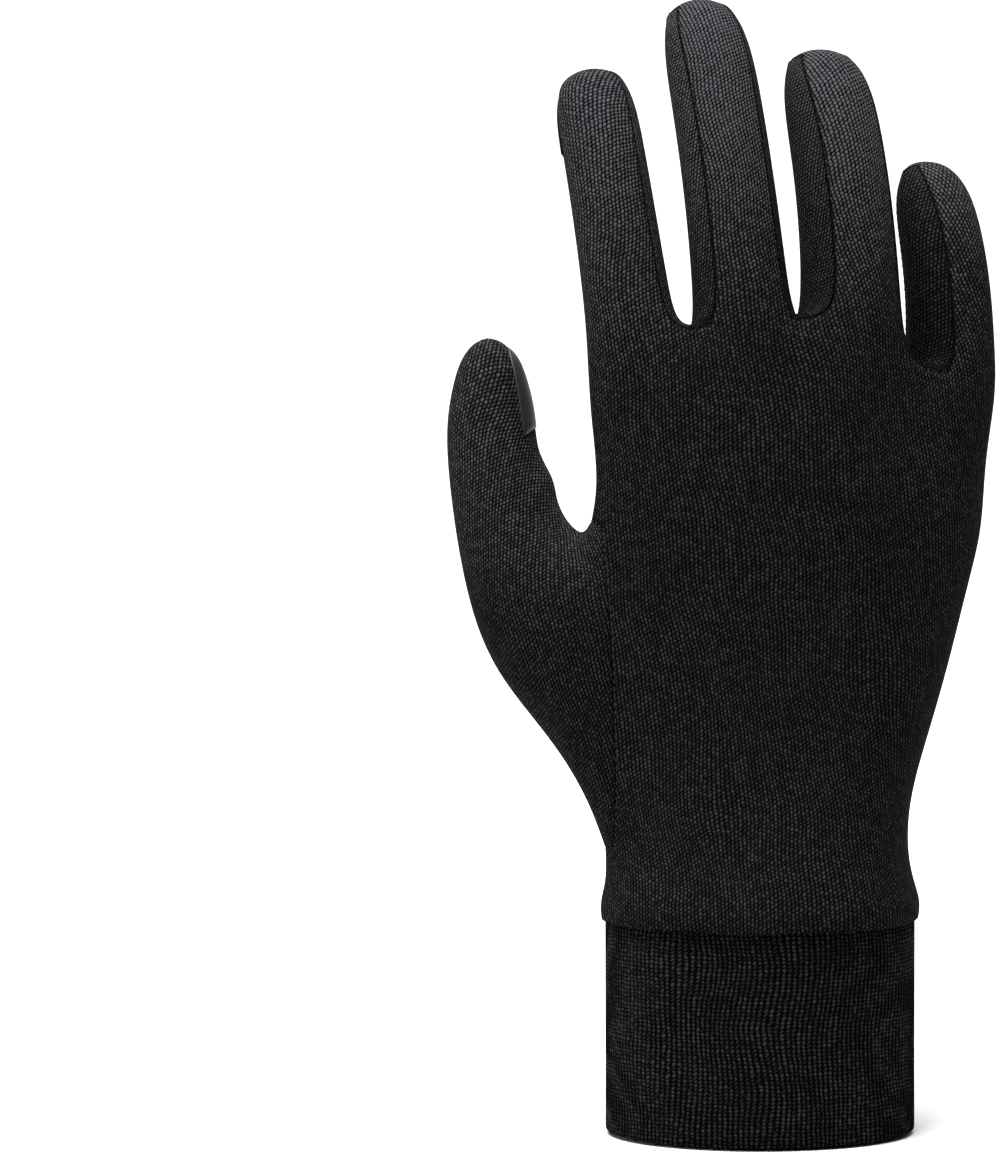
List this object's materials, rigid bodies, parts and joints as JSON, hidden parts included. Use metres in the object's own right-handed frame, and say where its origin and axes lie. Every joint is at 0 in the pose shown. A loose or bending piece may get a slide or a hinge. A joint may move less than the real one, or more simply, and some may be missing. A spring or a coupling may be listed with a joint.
{
  "type": "glove liner",
  "caption": "Thin knitted glove liner for the right hand with a rib-knit cuff, strips between the fingers, touch pads on index finger and thumb, and a pull tab.",
  "frame": {"origin": "centre of the cuff's mouth, in the plane of its lower edge, which is the mount wrist_opening", "axes": "+Z from the cuff towards the fingertips, +X from the thumb to the little finger, -Y out of the back of the hand and +Y out of the palm"},
  "size_m": [0.1327, 0.0644, 0.2715],
  "materials": {
    "knit": "fine matte stretch knit",
    "rib_knit": "matte rib knit",
    "touch_film": "smooth satin film",
    "tab": "smooth matte"
  },
  "bodies": {
    "root": {"trank": "knit", "thumb": "knit", "fourchette_index_middle": "knit", "fourchette_middle_ring": "knit", "fourchette_ring_little": "knit", "cuff": "rib_knit", "touch_pad_index": "touch_film", "touch_pad_thumb": "touch_film", "pull_tab": "tab"}
  },
  "joints": []
}
